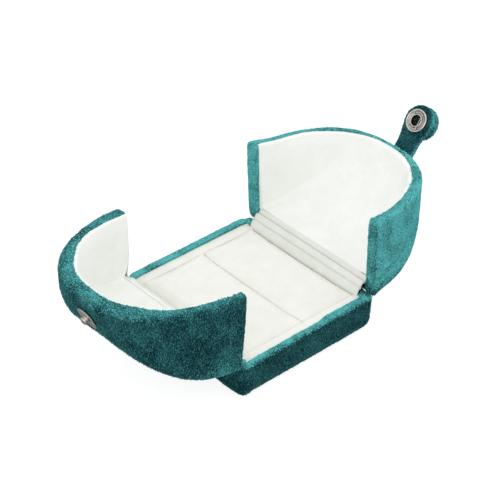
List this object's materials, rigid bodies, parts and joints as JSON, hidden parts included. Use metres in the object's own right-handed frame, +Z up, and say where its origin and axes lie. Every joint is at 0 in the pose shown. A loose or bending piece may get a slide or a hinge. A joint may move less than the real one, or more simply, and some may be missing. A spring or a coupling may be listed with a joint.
{
  "type": "ring box",
  "caption": "Velvet-covered ring box with domed double doors hinged on a shallow padded base, a slit pad for the ring, and a strap with a snap fastener.",
  "frame": {"origin": "centre of the base's flat underside, with the box standing on it and both doors open by 90 degrees", "axes": "+Z up, +X from the left door to the right door that carries the strap, +Y along the hinges to the far side"},
  "size_m": [0.1476, 0.062, 0.0529],
  "materials": {
    "teal_velvet": "short-pile velvet",
    "white_lining": "soft flocked lining, matt",
    "white_pad": "brushed cloth over foam",
    "moulded_shell": "moulded, matt",
    "hinge_steel": "stamped, satin",
    "nickel": "nickel plated, bright",
    "spring_wire": "drawn wire"
  },
  "bodies": {
    "base": {"base_cover": "teal_velvet", "base_bottom_panel": "teal_velvet", "base_shell": "moulded_shell", "lining_tray": "white_lining", "pad_board": "white_lining", "ring_pad_left": "white_pad", "ring_pad_right": "white_pad", "hinge_base_leaf_left": "hinge_steel", "hinge_pin_left": "hinge_steel", "hinge_strip_base_left": "white_lining", "hinge_base_leaf_right": "hinge_steel", "hinge_pin_right": "hinge_steel", "hinge_strip_base_right": "white_lining"},
    "left_door": {"hinge_door_leaf_left": "hinge_steel", "hinge_strip_door_left": "white_lining", "door_cover_left": "teal_velvet", "door_shell_left": "moulded_shell", "door_lining_left": "white_lining", "snap_stud": "nickel", "stud_washer": "nickel"},
    "right_door": {"hinge_door_leaf_right": "hinge_steel", "hinge_strip_door_right": "white_lining", "door_cover_right": "teal_velvet", "door_shell_right": "moulded_shell", "door_lining_right": "white_lining", "strap_root": "teal_velvet"},
    "strap": {"strap": "teal_velvet", "snap_socket": "nickel", "snap_spring": "spring_wire", "snap_cap": "teal_velvet"}
  },
  "joints": [
    {"name": "right_door_hinge", "type": "hinge", "parent": "base", "child": "right_door", "pos_m": [0.0277, 0, 0.0148], "axis": [0, -1, 0], "range_deg": [0, 90]},
    {"name": "left_door_hinge", "type": "hinge", "parent": "base", "child": "left_door", "pos_m": [-0.0277, 0, 0.0148], "axis": [0, 1, 0], "range_deg": [0, 90]},
    {"name": "strap_fold", "type": "hinge", "parent": "right_door", "child": "strap", "pos_m": [0.06963, -0.0015, 0.04036], "axis": [0, -1, 0], "range_deg": [0, 52.4]}
  ]
}
